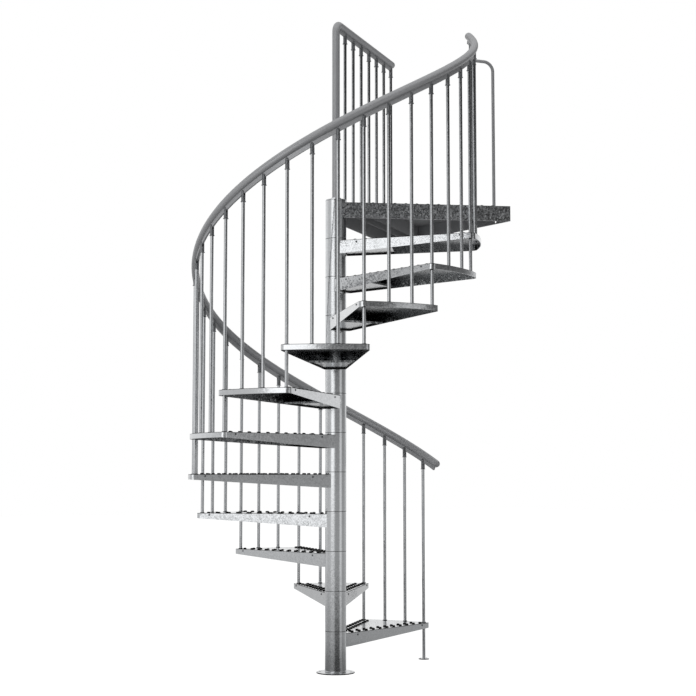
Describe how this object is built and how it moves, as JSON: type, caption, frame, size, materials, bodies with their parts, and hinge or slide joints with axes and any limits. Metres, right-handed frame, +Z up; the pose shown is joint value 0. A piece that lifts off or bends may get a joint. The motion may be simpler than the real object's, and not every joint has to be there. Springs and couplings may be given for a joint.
{
  "type": "spiral staircase",
  "caption": "Galvanised steel spiral stair with folded tray treads on a central column, a helical handrail on round balusters and a triangular top landing with a guard.",
  "frame": {"origin": "centre of the underside of the base flange, on the floor", "axes": "+Z up along the column, +X along the middle of the triangular landing, square to its outer edge"},
  "size_m": [1.6189, 1.6, 3.6075],
  "materials": {
    "galvanised_steel": "hot-dip galvanised, satin with fine spangle"
  },
  "bodies": {
    "root": {"base_flange": "galvanised_steel", "closing_rod": "galvanised_steel", "column_cap": "galvanised_steel", "column_sleeve_01": "galvanised_steel", "column_sleeve_02": "galvanised_steel", "column_sleeve_03": "galvanised_steel", "column_sleeve_04": "galvanised_steel", "column_sleeve_05": "galvanised_steel", "column_sleeve_06": "galvanised_steel", "column_sleeve_07": "galvanised_steel", "column_sleeve_08": "galvanised_steel", "column_sleeve_09": "galvanised_steel", "column_sleeve_10": "galvanised_steel", "column_sleeve_11": "galvanised_steel", "column_sleeve_12": "galvanised_steel", "foot_disc": "galvanised_steel", "guard_baluster_heads": "galvanised_steel", "guard_balusters": "galvanised_steel", "guard_bar": "galvanised_steel", "guard_post_rail": "galvanised_steel", "handrail_1": "galvanised_steel", "handrail_2": "galvanised_steel", "handrail_3": "galvanised_steel", "handrail_bar_1": "galvanised_steel", "handrail_bar_2": "galvanised_steel", "handrail_bar_3": "galvanised_steel", "joint_balusters": "galvanised_steel", "landing_ribs": "galvanised_steel", "landing_tray": "galvanised_steel", "leading_balusters": "galvanised_steel", "rail_end_caps": "galvanised_steel", "rod_connector": "galvanised_steel", "stair_baluster_heads": "galvanised_steel", "trailing_balusters": "galvanised_steel", "tread_01": "galvanised_steel", "tread_02": "galvanised_steel", "tread_03": "galvanised_steel", "tread_04": "galvanised_steel", "tread_05": "galvanised_steel", "tread_06": "galvanised_steel", "tread_07": "galvanised_steel", "tread_08": "galvanised_steel", "tread_09": "galvanised_steel", "tread_10": "galvanised_steel", "tread_11": "galvanised_steel"}
  },
  "joints": []
}
